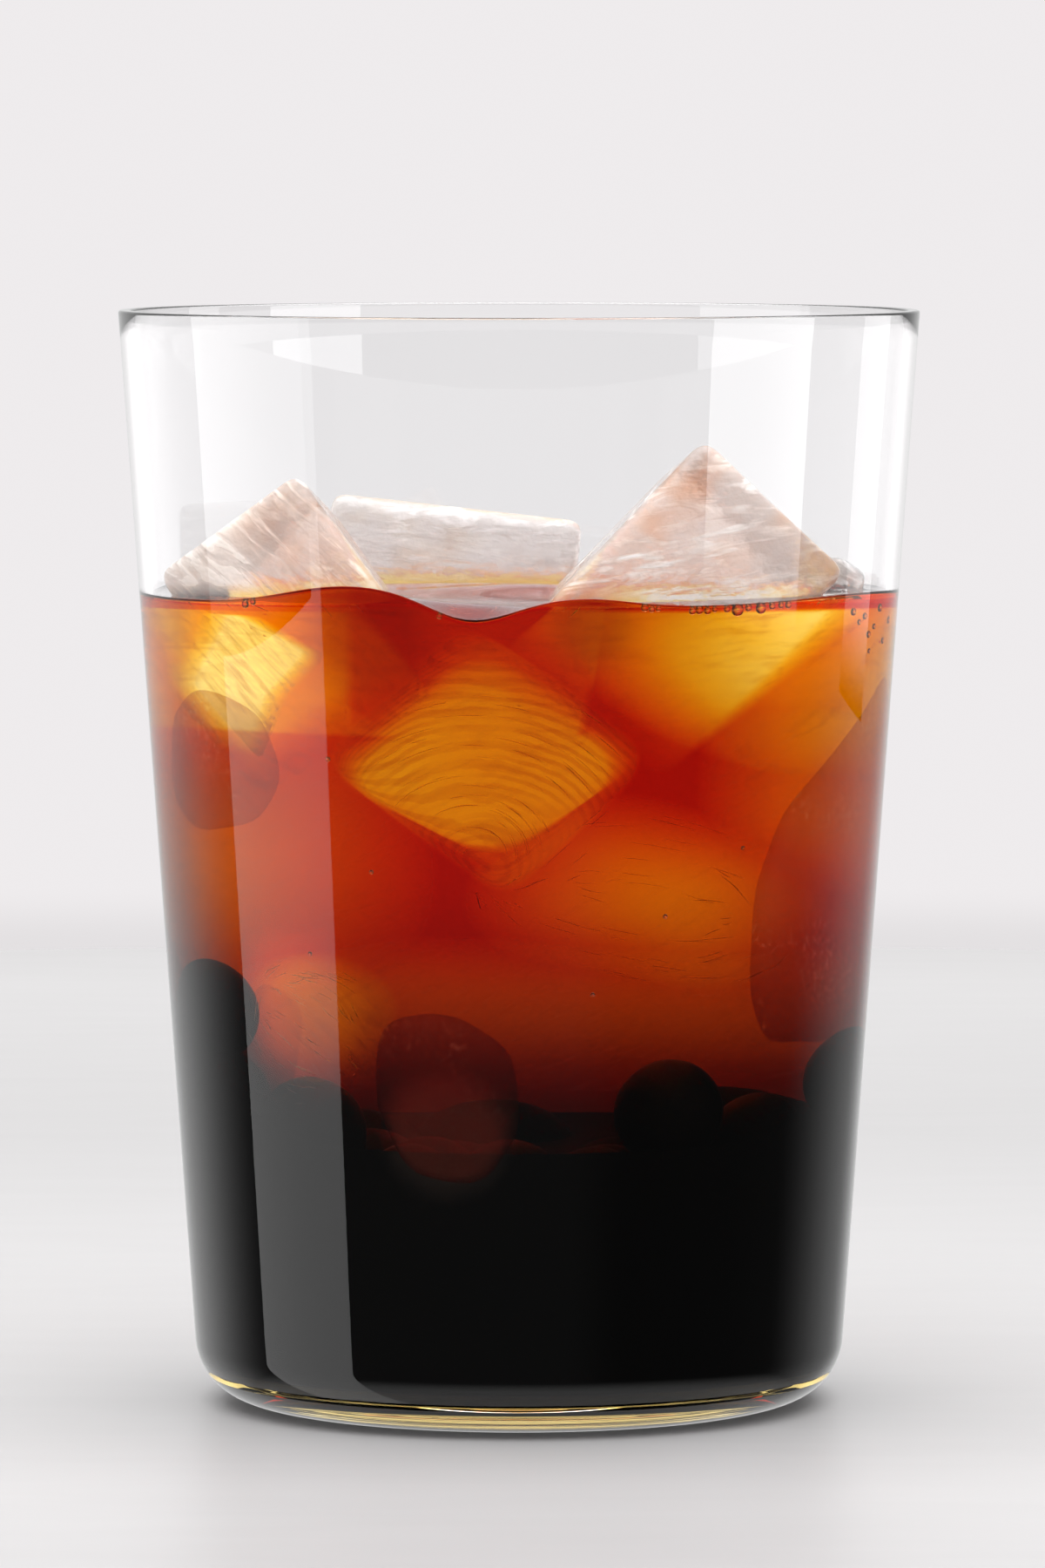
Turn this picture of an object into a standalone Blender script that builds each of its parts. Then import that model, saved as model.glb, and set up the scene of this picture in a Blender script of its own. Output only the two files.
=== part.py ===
"""Iced black tea over tapioca pearls in a plain straight-sided tumbler, with the ice that stands out of it.

Metres, +Z up, the tumbler's axis on Z and its flat foot on z = 0. -Y is the front and +X its right side.
The tumbler is one turned solid. The dark layer of pearls, the tea above it and each piece of ice that
breaks the surface are solids of their own, kept a thin gap apart.
"""

import math
import random

import bmesh
import bpy
from mathutils import Matrix, Vector

# The tumbler: a thin-walled taper on a small flat foot.
HEIGHT = 0.120
RIM_RADIUS = 0.044
SIDE_SLOPE = 0.0723
FOOT_CORNER = 0.007
WALL = 0.0014
BASE = 0.0030
INNER_CORNER = 0.0045
ROUND_STEPS = 64
CORNER_STEPS = 5
LIP_STEPS = 4
MERGE = 0.00001

# Everything inside keeps this gap to its neighbours.
GAP = 0.0003

# The dark layer: pearls packed in syrup, with the top ones standing proud.
PEARL_RADIUS = 0.0053
PEARL_SPREAD = 0.0005
PEARL_TURN = 2.399963
PEARL_PITCH = 0.0105
PEARL_SINK = 0.0024
PEARL_JOSTLE = 0.0016
PEARL_DRIFT = 0.12
PEARL_CLEARANCE = 1.7
WALL_CLEARANCE = 1.1
LAYER_LEVEL = 0.0310
LAYER_DIP = 0.0040
LAYER_RISE = {"left": 0.015, "right": 0.008}
LAYER_BANK = 6
LAYER_RINGS = 6
SEED = 7
HIGH_PEARLS = (
    # x, y, z of the pearls that stand highest against the wall
    (0.0152, -0.0262, 0.0346),
    (0.0235, -0.0170, 0.0302),
    (0.0300, 0.0010, 0.0358),
    (-0.0295, -0.0075, 0.0440),
    (-0.0285, -0.0085, 0.0345),
    (-0.0205, -0.0195, 0.0322),
)

# The tea's surface: the level at rest, and the crests and troughs that stand on it.
TEA_LEVEL = 0.0890
TEA_RINGS = 9
TEA_FOOT = 0.012
TEA_TURN = 0.37
SWELLS = (
    # x, y, spread, rise
    (-0.0180, -0.0370, 0.0080, 0.0022),
    (-0.0052, -0.0390, 0.0040, -0.0019),
    (0.0065, -0.0380, 0.0050, 0.0011),
    (0.0010, -0.0060, 0.0090, 0.0011),
    (0.0350, -0.0180, 0.0110, 0.0006),
    (-0.0100, 0.0300, 0.0120, 0.0007),
    (0.0200, 0.0300, 0.0100, -0.0006),
)

# Ice that breaks the surface: top corner, sizes along the two falling edges and to the back, and how it sits.
ICE_CORNER = 0.0014
ICE_UNEVEN = 0.0006
ICE_STEPS = 2
ICE = {
    "ice_left": {
        "top": (-0.0243, -0.0080, 0.1031),
        "left_edge": 0.0195,
        "right_edge": 0.0245,
        "depth": 0.0190,
        "yaw": -14,
        "lean": 18,
        "roll": 51,
    },
    "ice_right": {
        "top": (0.0208, -0.0185, 0.1066),
        "left_edge": 0.0275,
        "right_edge": 0.0205,
        "depth": 0.0225,
        "yaw": 12,
        "lean": 11,
        "roll": 46,
    },
    "ice_back": {
        "top": (-0.0204, 0.0135, 0.0994),
        "left_edge": 0.0240,
        "right_edge": 0.0278,
        "depth": 0.0190,
        "yaw": 2,
        "lean": 3,
        "roll": 6.5,
    },
    "ice_far_right": {
        "top": (0.0352, 0.0060, 0.0932),
        "left_edge": 0.0150,
        "right_edge": 0.0052,
        "depth": 0.0100,
        "yaw": 14,
        "lean": 4,
        "roll": 34,
    },
}


def clear_scene():
    for old in list(bpy.data.objects):
        bpy.data.objects.remove(old, do_unlink=True)


def material(name, color, roughness, metallic=0.0, alpha=1.0):
    made = bpy.data.materials.new(name)
    made.use_nodes = True
    shader = made.node_tree.nodes["Principled BSDF"]
    shader.inputs["Base Color"].default_value = (*color, 1.0)
    shader.inputs["Roughness"].default_value = roughness
    shader.inputs["Metallic"].default_value = metallic
    shader.inputs["Alpha"].default_value = alpha
    made.diffuse_color = (*color, alpha)
    return made


def link(name, mesh, made):
    thing = bpy.data.objects.new(name, mesh)
    bpy.context.scene.collection.objects.link(thing)
    if made:
        thing.data.materials.append(made)
    return thing


def smooth(thing, sharp_degrees):
    thing.data.shade_smooth()
    thing.data.set_sharp_from_angle(angle=math.radians(sharp_degrees))


def outer_radius(z):
    return RIM_RADIUS - SIDE_SLOPE * (HEIGHT - z)


def inner_radius(z):
    return outer_radius(z) - WALL / math.cos(math.atan(SIDE_SLOPE))


def corner_arc(side_radius, floor, corner, steps):
    """Points (radius, z) round the corner from a floor to the leaning side."""
    lean = math.atan(SIDE_SLOPE)
    centre_z = floor + corner
    centre_r = side_radius(centre_z) - corner / math.cos(lean)
    angles = [math.pi / 2 - (math.pi / 2 - lean) * i / steps for i in range(steps + 1)]
    return [(centre_r + corner * math.cos(a), centre_z - corner * math.sin(a)) for a in angles]


def lip_arc():
    """Points over the rounded lip, from the inner side to the outer side."""
    middle = (RIM_RADIUS + inner_radius(HEIGHT)) / 2
    half = (RIM_RADIUS - inner_radius(HEIGHT)) / 2
    angles = [math.pi - math.pi * i / LIP_STEPS for i in range(LIP_STEPS + 1)]
    return [(middle + half * math.cos(a), HEIGHT - half + half * math.sin(a)) for a in angles]


def turned(name, profile, steps):
    """A closed body turned from a profile that starts and ends on the axis, its outer side run downwards."""
    mesh = bpy.data.meshes.new(name)
    mesh.from_pydata([(r, 0.0, z) for r, z in profile], [(i, i + 1) for i in range(len(profile) - 1)], [])
    thing = link(name, mesh, None)
    screw = thing.modifiers.new("turn", "SCREW")
    screw.axis = "Z"
    screw.steps = screw.render_steps = steps
    screw.use_merge_vertices = True
    screw.merge_threshold = MERGE
    screw.use_smooth_shade = True
    return thing


def steadied(arc, side_radius, heights):
    """An arc and points on the straight side next to it, so that the side keeps its own shading."""
    return arc + [(side_radius(z), z) for z in heights]


def build_glass():
    low, high = FOOT_CORNER + 3 * WALL, HEIGHT - 2 * WALL
    inner_corner = corner_arc(inner_radius, BASE, INNER_CORNER, CORNER_STEPS)
    outer_corner = corner_arc(outer_radius, 0.0, FOOT_CORNER, CORNER_STEPS)
    inside = steadied(inner_corner, inner_radius, [low + BASE, high])
    outside = steadied(outer_corner, outer_radius, [low, high])
    profile = [(0.0, BASE)] + inside + lip_arc() + outside[::-1] + [(0.0, 0.0)]
    glass = turned("glass", profile, ROUND_STEPS)
    glass.data.materials.append(material("clear_glass", (0.92, 0.95, 0.94), 0.03, alpha=0.3))
    return glass


def plug(name, top, bottom_z, grow=0.0, rings=LAYER_RINGS, floor_corner=False, phase=0.0):
    """A solid that fits the tumbler a gap short of its wall, up to the height that top(x, y) gives."""
    radius = lambda z: inner_radius(z) - GAP + grow
    bm = bmesh.new()
    turns = [2 * math.pi * (i + phase) / ROUND_STEPS for i in range(ROUND_STEPS)]

    def ring(height_of, share, level=None):
        points = []
        for turn in turns:
            reach = radius(height_of(turn)) * share
            x, y = reach * math.cos(turn), reach * math.sin(turn)
            points.append(bm.verts.new((x, y, level if level is not None else top(x, y) + grow)))
        return points

    def edge_height(turn):
        height = TEA_LEVEL
        for _ in range(4):
            reach = radius(height)
            height = top(reach * math.cos(turn), reach * math.sin(turn)) + grow
        return height

    loops = [ring(edge_height, share / rings) for share in range(1, rings + 1)]
    if floor_corner:
        for r, z in corner_arc(radius, bottom_z, INNER_CORNER - GAP, CORNER_STEPS)[::-1]:
            loops.append([bm.verts.new((r * math.cos(t), r * math.sin(t), z)) for t in turns])
    else:
        loops.append(ring(lambda turn: bottom_z, 1.0, bottom_z))
    for inner, outer in zip(loops, loops[1:]):
        for i, vert in enumerate(inner):
            j = (i + 1) % ROUND_STEPS
            bm.faces.new((vert, outer[i], outer[j], inner[j]))
    middle = bm.verts.new((0.0, 0.0, top(0.0, 0.0) + grow))
    under = bm.verts.new((0.0, 0.0, bottom_z))
    for i in range(ROUND_STEPS):
        j = (i + 1) % ROUND_STEPS
        bm.faces.new((middle, loops[0][i], loops[0][j]))
        bm.faces.new((under, loops[-1][j], loops[-1][i]))
    bmesh.ops.triangulate(bm, faces=bm.faces)
    mesh = bpy.data.meshes.new(name)
    bm.to_mesh(mesh)
    bm.free()
    return link(name, mesh, None)


def layer_top(x, y):
    """Height of the dark layer: low in the middle, banked up the wall, most of all on the left."""
    side = LAYER_RISE["left"] if x < 0 else LAYER_RISE["right"]
    reach = inner_radius(LAYER_LEVEL)
    dish = LAYER_DIP * ((math.hypot(x, y) / reach) ** 2 - 1)
    return LAYER_LEVEL + dish + side * abs(x / reach) ** LAYER_BANK


def tea_top(x, y):
    """Height of the tea: the level plus each crest and trough."""
    return TEA_LEVEL + sum(
        rise * math.exp(-((x - across) ** 2 + (y - deep) ** 2) / (2 * spread**2))
        for across, deep, spread, rise in SWELLS
    )


def pearl_places():
    """Centre, radius and turn of each pearl that stands proud.

    The high ones come first. The rest follow a sunflower spiral, jostled by a seeded draw.
    """
    draw = random.Random(SEED)
    wall = inner_radius(LAYER_LEVEL) - GAP
    places = [(Vector(centre), PEARL_RADIUS + PEARL_SPREAD, i) for i, centre in enumerate(HIGH_PEARLS)]
    for i in range(int(math.pi * (wall / PEARL_PITCH) ** 2)):
        size = PEARL_RADIUS + draw.uniform(-PEARL_SPREAD, PEARL_SPREAD)
        jostle = draw.uniform(-PEARL_JOSTLE, PEARL_JOSTLE)
        turn = i * PEARL_TURN + draw.uniform(-PEARL_DRIFT, PEARL_DRIFT)
        out = min(PEARL_PITCH * math.sqrt((i + 0.5) / math.pi), wall - WALL_CLEARANCE * size)
        x, y = out * math.cos(turn), out * math.sin(turn)
        centre = Vector((x, y, layer_top(x, y) - PEARL_SINK + jostle))
        if all((centre - other).length > PEARL_CLEARANCE * PEARL_RADIUS for other, _, _ in places):
            places.append((centre, size, turn))
    return places


def pearl(name, centre, size, turn):
    bm = bmesh.new()
    place = Matrix.Translation(centre) @ Matrix.Rotation(turn, 4, "Z") @ Matrix.Rotation(turn, 4, "X")
    bmesh.ops.create_icosphere(bm, subdivisions=2, radius=size, matrix=place)
    mesh = bpy.data.meshes.new(name)
    bm.to_mesh(mesh)
    bm.free()
    return link(name, mesh, None)


def keep_largest_shell(mesh):
    """Drops loose scraps and sealed hollows, which a union of many rounds can leave."""
    bm = bmesh.new()
    bm.from_mesh(mesh)
    seen, shells = set(), []
    for start in bm.verts:
        if start in seen:
            continue
        shell, waiting = [], [start]
        seen.add(start)
        while waiting:
            vert = waiting.pop()
            shell.append(vert)
            for edge in vert.link_edges:
                other = edge.other_vert(vert)
                if other not in seen:
                    seen.add(other)
                    waiting.append(other)
        shells.append(shell)
    shells.sort(key=len)
    bmesh.ops.delete(bm, geom=[vert for shell in shells[:-1] for vert in shell], context="VERTS")
    bm.to_mesh(mesh)
    bm.free()


def apply_boolean(thing, operation, others):
    """One exact Boolean with everything in others, applied, and the others removed."""
    group = bpy.data.collections.new("operands")
    bpy.context.scene.collection.children.link(group)
    for other in others:
        group.objects.link(other)
    boolean = thing.modifiers.new("join", "BOOLEAN")
    boolean.operation = operation
    boolean.operand_type = "COLLECTION"
    boolean.collection = group
    boolean.solver = "EXACT"
    bpy.context.view_layer.update()
    graph = bpy.context.evaluated_depsgraph_get()
    mesh = bpy.data.meshes.new_from_object(thing.evaluated_get(graph))
    thing.modifiers.clear()
    thing.data = mesh
    for other in others:
        bpy.data.objects.remove(other, do_unlink=True)
    bpy.data.collections.remove(group)
    keep_largest_shell(mesh)


def pearl_layer(name, grow=0.0):
    """The dark layer as one body: a plug for the packed pearls and syrup, and the proud pearls fused on."""
    core = plug(name, layer_top, BASE + GAP - grow, grow, LAYER_RINGS, floor_corner=grow == 0.0)
    proud = [
        pearl(f"{name}_pearl", centre, size + grow, turn)
        for centre, size, turn in pearl_places()
    ]
    apply_boolean(core, "UNION", proud)
    return core


def ice_block(name, shape, grow=0.0):
    """A block hung from its top corner: two edges fall to the left and the right, the third runs back."""
    sizes = (shape["left_edge"], shape["depth"], shape["right_edge"])
    bm = bmesh.new()
    bmesh.ops.create_cube(bm, size=1.0)
    bmesh.ops.scale(bm, vec=[size + 2 * grow for size in sizes], verts=bm.verts)
    draw = random.Random(sizes[0] + sizes[1] + sizes[2])
    for vert in bm.verts:
        vert.co += Vector([draw.uniform(-ICE_UNEVEN, ICE_UNEVEN) for _ in sizes])
    bmesh.ops.bevel(
        bm,
        geom=bm.verts[:] + bm.edges[:],
        offset=ICE_CORNER + grow,
        segments=ICE_STEPS,
        profile=0.5,
        affect="EDGES",
        clamp_overlap=True,
    )
    yaw, lean, roll = (math.radians(shape[key]) for key in ("yaw", "lean", "roll"))
    facing = Matrix.Rotation(yaw, 3, "Z") @ Matrix.Rotation(-lean, 3, "X")
    falls_left = facing @ Vector((-math.sin(roll), 0, -math.cos(roll)))
    falls_right = facing @ Vector((math.cos(roll), 0, -math.sin(roll)))
    runs_back = facing @ Vector((0, 1, 0))
    turn = Matrix((falls_left, runs_back, falls_right)).transposed()
    middle = Vector(shape["top"]) + turn @ (Vector(sizes) / 2)
    bmesh.ops.transform(bm, matrix=Matrix.Translation(middle) @ turn.to_4x4(), verts=bm.verts)
    bmesh.ops.recalc_face_normals(bm, faces=bm.faces)
    bmesh.ops.triangulate(bm, faces=bm.faces)
    mesh = bpy.data.meshes.new(name)
    bm.to_mesh(mesh)
    bm.free()
    return link(name, mesh, None)


def build_pearls():
    layer = pearl_layer("pearls")
    layer.data.materials.append(material("dark_pearl", (0.012, 0.006, 0.005), 0.25))
    smooth(layer, 50)
    return layer


def build_ice():
    frosty = material("ice", (0.86, 0.84, 0.83), 0.3, alpha=0.6)
    for name, shape in ICE.items():
        block = ice_block(name, shape)
        block.data.materials.append(frosty)
        smooth(block, 40)


def build_tea():
    tea = plug("tea", tea_top, TEA_FOOT, rings=TEA_RINGS, phase=TEA_TURN)
    cutters = [pearl_layer("layer_room", grow=GAP)]
    cutters += [ice_block(f"{name}_room", shape, grow=GAP) for name, shape in ICE.items()]
    apply_boolean(tea, "DIFFERENCE", cutters)
    tea.data.materials.append(material("black_tea", (0.28, 0.035, 0.003), 0.05))
    smooth(tea, 35)
    return tea


def main():
    clear_scene()
    build_glass()
    build_pearls()
    build_ice()
    build_tea()


main()
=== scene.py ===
"""Looks of the iced tea over tapioca pearls: tumbler, drink, ice, pearls, bubbles, table and studio."""

import bisect
import itertools
import math
import random

import bmesh
import bpy
from mathutils import Matrix, Vector, noise
from mathutils.bvhtree import BVHTree


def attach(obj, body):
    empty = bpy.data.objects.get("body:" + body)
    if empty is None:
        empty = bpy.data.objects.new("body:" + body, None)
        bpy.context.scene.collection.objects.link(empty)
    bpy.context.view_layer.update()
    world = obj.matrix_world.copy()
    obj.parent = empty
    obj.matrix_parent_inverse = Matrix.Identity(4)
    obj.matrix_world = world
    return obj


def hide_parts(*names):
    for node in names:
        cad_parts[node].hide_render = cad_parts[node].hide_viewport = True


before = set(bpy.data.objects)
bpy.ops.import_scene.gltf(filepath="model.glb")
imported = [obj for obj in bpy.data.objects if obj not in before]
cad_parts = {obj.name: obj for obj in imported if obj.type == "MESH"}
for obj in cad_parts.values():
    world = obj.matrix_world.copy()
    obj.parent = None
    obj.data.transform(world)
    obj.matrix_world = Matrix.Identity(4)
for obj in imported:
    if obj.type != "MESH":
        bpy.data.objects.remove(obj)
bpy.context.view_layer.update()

# ---------------------------------------------------------------- sizes shared with the solids, metres
HEIGHT = 0.120
RIM_RADIUS = 0.044
SIDE_SLOPE = 0.0723
FOOT_CORNER = 0.007
WALL = 0.0014
BASE = 0.0030
INNER_CORNER = 0.0045
GAP = 0.0003
TEA_LEVEL = 0.0890
SWELLS = (
    (-0.0180, -0.0370, 0.0080, 0.0022),
    (-0.0052, -0.0390, 0.0040, -0.0019),
    (0.0065, -0.0380, 0.0050, 0.0011),
    (0.0010, -0.0060, 0.0090, 0.0011),
    (0.0350, -0.0180, 0.0110, 0.0006),
    (-0.0100, 0.0300, 0.0120, 0.0007),
    (0.0200, 0.0300, 0.0100, -0.0006),
)
PEARL_RADIUS = 0.0053
PEARL_SPREAD = 0.0005
PEARL_TURN = 2.399963
PEARL_PITCH = 0.0105
PEARL_SINK = 0.0024
PEARL_JOSTLE = 0.0016
PEARL_DRIFT = 0.12
PEARL_CLEARANCE = 1.7
WALL_CLEARANCE = 1.1
LAYER_LEVEL = 0.0310
LAYER_DIP = 0.0040
LAYER_RISE = {"left": 0.015, "right": 0.008}
LAYER_BANK = 6
SEED = 7
HIGH_PEARLS = (
    (0.0152, -0.0262, 0.0346),
    (0.0235, -0.0170, 0.0302),
    (0.0300, 0.0010, 0.0358),
    (-0.0295, -0.0075, 0.0440),
    (-0.0285, -0.0085, 0.0345),
    (-0.0205, -0.0195, 0.0322),
)

# ---------------------------------------------------------------- sizes of the looks alone
SURFACE_RINGS = 44
CORE_RINGS = 20
CORE_TURNS = 128
TURNS = 224  # facets round the glass and the drink
WET = 0.00015  # how far the drink reaches into the wall and the ice
FLOOR_Z = -0.0002
TABLE_REACH = 0.556
TOP_LIGHT = 4.2
CAMERA_PLACE = (0.0, -1.0, 0.140)
CAMERA_DIP = 4.13  # degrees
FOCAL_PX = 10445  # focal length and sideways shift, in pixels of the photo, which is this tall
SHIFT_PX = 4
PHOTO_PX = 1800
BACKDROP = (0.860, 0.835, 0.845)
HORIZON = (-0.0895, -0.0830, 0.90, 1.0)  # the backdrop darkens a little towards the table
SIDE_GLOW = 0.6  # how much brighter it is to both sides behind the glass
BRIM = 0.0001  # how far a contact patch stays inside the wall
LIP = 0.0003  # rounding of the rim
SHORE = 0.0036  # no facet of the inner wall ends this near the waterline
MENISCUS = (0.0003, 0.0005)  # climb and reach of the drink at the wall
SKIN = 0.0003  # the drink's surface is a film this thick, which bends the light that enters
WHITE = (1.0, 1.0, 1.0)
FULL_GLOSS = (1, 1, 1, 1)
NO_GLOSS = (0, 0, 0, 1)
GLASS_IOR = 1.5
TEA_IOR = 1.333
ICE_IOR = 1.31
# The clouded drink over the pearls: share of the way up between two heights, and the colour let through.
CLOUD_HEIGHTS = (0.020, 0.060)
CLOUD_LIFT = 0.014  # how much higher it stands at the left
CLOUD = (
    (0.0, (0.010, 0.006, 0.005)),
    (0.25, (0.030, 0.020, 0.018)),
    (0.40, (0.110, 0.080, 0.075)),
    (0.575, (0.380, 0.330, 0.310)),
    (0.75, (0.700, 0.670, 0.660)),
    (1.0, (1.0, 1.0, 1.0)),
)
CLOUD_LIFTED = (-0.036, -0.026)  # across, from the whole lift to none
TEA_COLOR = (0.9667, 0.7833, 0.0)  # with its density: what a way through the drink lets through
TEA_DENSITY = 360
# Painted shade: where the drink is darker at the wall towards its sides, below some height: across from
# no film to a full one, up from a full one to none, and what a full one lets through.
SIDE_SHADE_FILMS = (
    (-0.012, -0.028, 0.068, 0.082, (0.36, 0.32, 0.30)),
    (0.014, 0.026, 0.074, 0.092, (0.36, 0.30, 0.30)),
    (-0.0330, -0.0365, 0.100, 0.110, (0.45, 0.35, 0.25)),
)
# Where low ice at the wall keeps these and the cloud off: centre, full reach, last reach, what is let
# through there.
GLOWS = (
    ((-0.0225, -0.0295, 0.0460), 0.0040, 0.0110, (0.80, 0.62, 0.50)),
    ((-0.0078, -0.0353, 0.0330), 0.0045, 0.0082, (0.85, 0.75, 0.75)),
)
# Where no ice stands behind the wall and the drink is deepest in colour, in the same way.
SHADES = (
    ((-0.0156, -0.0370, 0.0868), 0.0035, 0.0100, (0.50, 0.20, 0.40)),
    ((0.0078, -0.0394, 0.0873), 0.0020, 0.0065, (0.56, 0.75, 0.60)),
)

# Ice wholly under the surface: centre, sizes, turns about Y, X and Z in degrees, corner radius, rounds of
# melting. Blocks without a corner radius have melted to a lens.
SUNKEN = {
    "middle": ((-0.0026, -0.0130, 0.0722), (0.0205, 0.0180, 0.0200), (40, 6, 4), 0.0025, 8),
    "behind_middle": ((-0.0022, 0.0050, 0.0712), (0.0190, 0.0160, 0.0180), (40, 4, 0), 0.0035, 16),
    "far_middle": ((-0.0026, 0.0225, 0.0700), (0.0146, 0.0270, 0.0150), (40, 0, 0), 0.0035, 20),
    "glow_right": ((0.0104, 0.0030, 0.0568), (0.0290, 0.0460, 0.0200), (12, 0, 6), None, 0),
    "low_left": ((-0.0205, -0.0190, 0.0430), (0.0125, 0.0190, 0.0165), (24, 0, -34), 0.0050, 10),
    "left": ((-0.0215, 0.0080, 0.0610), (0.0300, 0.0340, 0.0360), (6, -14, 10), None, 0),
    "between_left": ((-0.0240, 0.0110, 0.0800), (0.0200, 0.0220, 0.0180), (0, 0, 0), 0.0020, 6),
    "far_right": ((0.0210, 0.0190, 0.0815), (0.0380, 0.0460, 0.0230), (20, 0, 0), None, 0),
    "right": ((0.0240, 0.0050, 0.0680), (0.0190, 0.0340, 0.0230), (0, 0, 0), None, 0),
    "low": ((0.0020, 0.0100, 0.0435), (0.0560, 0.0350, 0.0170), (0, 0, 0), None, 0),
}
# The corner of a block right behind the wall: its outline (across, up), and how it reaches back.
FRONT_LEFT = (
    (-0.0296, 0.0890),
    (-0.0265, 0.0872),
    (-0.0206, 0.0839),
    (-0.0247, 0.0794),
    (-0.0272, 0.0730),
    (-0.0338, 0.0803),
    (-0.0308, 0.0865),
)
FRONT_LEFT_REACH = (-0.0420, -0.0040)
ICE_CEILING = TEA_LEVEL - 0.0015  # sunken ice is cut off at this height
CLEARANCE = 0.0002  # of the sunken ice from the rest
SQUARENESS = 2.6  # of a lens: 2 is an ellipse
ROOM = 0.0004  # the drink keeps this far off the sunken ice, so that no film of it darkens the joints

# Trails of trapped air in the ice: how many are tried, direction, shortest and longest, thickest, depth.
TRAILS = {
    "ice_left": (700, (1.0, 0.0, -0.75), 0.0015, 0.0050, 0.00009, 0.0030),
    "ice_right": (800, (1.0, 0.1, 0.10), 0.0012, 0.0050, 0.00009, 0.0030),
    "ice_back": (400, (1.0, 0.0, -0.10), 0.0012, 0.0040, 0.00009, 0.0025),
    "ice_far_right": (200, (1.0, 0.0, -0.50), 0.0010, 0.0030, 0.00009, 0.0015),
    "sunken_low_left": (160, (1.0, 0.0, -0.60), 0.0015, 0.0040, 0.00006, 0.0020),
    "sunken_glow_right": (160, (1.0, 0.0, -0.15), 0.0015, 0.0045, 0.00005, 0.0020),
}
# The same in rings: middle, widest reach, pitch, how many are tried, thickest.
RINGS = {"sunken_middle": ((-0.0045, -0.0215, 0.0620), 0.0190, 0.0011, 160, 0.00004)}
STREAK_TILTS = {"ice_left": -40, "ice_right": 6, "ice_back": -6, "ice_far_right": -30}
# Painted light: two tints of the ice that stands out and the tint of its frost, all pale and warm,
# for the drink's coloured light that reaches that ice from below.
ICE_PAINTED_TEA_LIGHT = {
    "ice_left": ((1.0, 0.80, 0.72), (1.0, 0.62, 0.44), (1.0, 0.85, 0.78)),
    "ice_right": ((1.0, 0.83, 0.77), (1.0, 0.62, 0.44), (1.0, 0.95, 0.92)),
    "ice_back": ((1.0, 0.95, 0.93), (1.0, 0.86, 0.78), (1.0, 0.97, 0.96)),
    "ice_far_right": ((1.0, 0.92, 0.90), (1.0, 0.84, 0.76), (1.0, 0.97, 0.96)),
}
# How clear that ice is between its streaks and in them.
DRY = {
    "ice_left": (0.68, 0.12),
    "ice_right": (0.66, 0.08),
    "ice_back": (0.62, 0.10),
    "ice_far_right": (0.70, 0.10),
}

# Ice faces that touch the wall: azimuth from the front in degrees, height, half width,
# half height, rise of the middle line to the right, growth to the right, squareness.
PATCHES = {
    "left": (-55.6, 0.0718, 0.0103, 0.0074, 0.0, -0.10, 2.3),
    "low": (-12.3, 0.0370, 0.0079, 0.0088, -0.10, 0.0, 2.3),
    "edge_left": (-84.0, 0.0425, 0.0125, 0.0105, -0.15, -0.30, 2.0),
    "right": (64.0, 0.0580, 0.0148, 0.0172, 0.34, 0.23, 4.0),
}

# Bubbles along the waterline and on the wall: azimuth from the front, height above the tea, radius.
BUBBLES = (
    (19.2, -0.0003, 0.00042), (20.3, -0.0004, 0.00036), (21.3, -0.0003, 0.00030),
    (27.0, -0.0004, 0.00040), (28.2, -0.0003, 0.00046), (29.6, -0.0004, 0.00040),
    (30.8, -0.0003, 0.00032), (33.0, -0.0003, 0.00038), (35.2, -0.0004, 0.00070),
    (37.0, -0.0003, 0.00040), (39.6, -0.0004, 0.00062), (41.6, -0.0003, 0.00040),
    (43.4, -0.0003, 0.00036), (45.0, -0.0003, 0.00042), (-46.0, -0.0004, 0.00045),
    (-44.2, -0.0003, 0.00035), (-12.0, -0.0003, 0.00030), (62.0, -0.0018, 0.00045),
    (64.0, -0.0030, 0.00034), (66.0, -0.0024, 0.00040), (68.0, -0.0044, 0.00042),
    (70.0, -0.0036, 0.00036), (72.5, -0.0016, 0.00050), (75.0, -0.0052, 0.00040),
    (78.0, -0.0030, 0.00045), (68.5, -0.0062, 0.00030), (-31.0, -0.0180, 0.00028),
    (-24.0, -0.0300, 0.00024), (24.0, -0.0330, 0.00026), (12.0, -0.0420, 0.00024),
    (-36.0, -0.0385, 0.00026), (38.0, -0.0260, 0.00024),
)


# ================================================================ helpers
def new_object(name, mesh, made=None):
    thing = bpy.data.objects.new(name, mesh)
    bpy.context.scene.collection.objects.link(thing)
    if made:
        thing.data.materials.append(made)
    return thing


def mesh_of(name, bm):
    mesh = bpy.data.meshes.new(name)
    bm.to_mesh(mesh)
    bm.free()
    return mesh


def from_bmesh(name, bm, made=None):
    return new_object(name, mesh_of(name, bm), made)


def apply_modifiers(thing):
    seen = thing.evaluated_get(bpy.context.evaluated_depsgraph_get())
    thing.data = bpy.data.meshes.new_from_object(seen)
    thing.modifiers.clear()


def cut(thing, others, operation):
    """Booleans with other objects, applied."""
    for other in others:
        boolean = thing.modifiers.new("cut", "BOOLEAN")
        boolean.operation = operation
        boolean.object = other
        boolean.solver = "MANIFOLD"
    apply_modifiers(thing)


def smooth(thing, sharp_degrees=180):
    thing.data.shade_smooth()
    if sharp_degrees < 180:
        thing.data.set_sharp_from_angle(angle=math.radians(sharp_degrees))


def outer_radius(z):
    return RIM_RADIUS - SIDE_SLOPE * (HEIGHT - z)


def inner_radius(z):
    return outer_radius(z) - WALL / math.cos(math.atan(SIDE_SLOPE))


def short_of_wall(inward):
    """The inside radius, this far short of the wall, as a function of the height."""
    return lambda z: inner_radius(z) - inward


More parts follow.
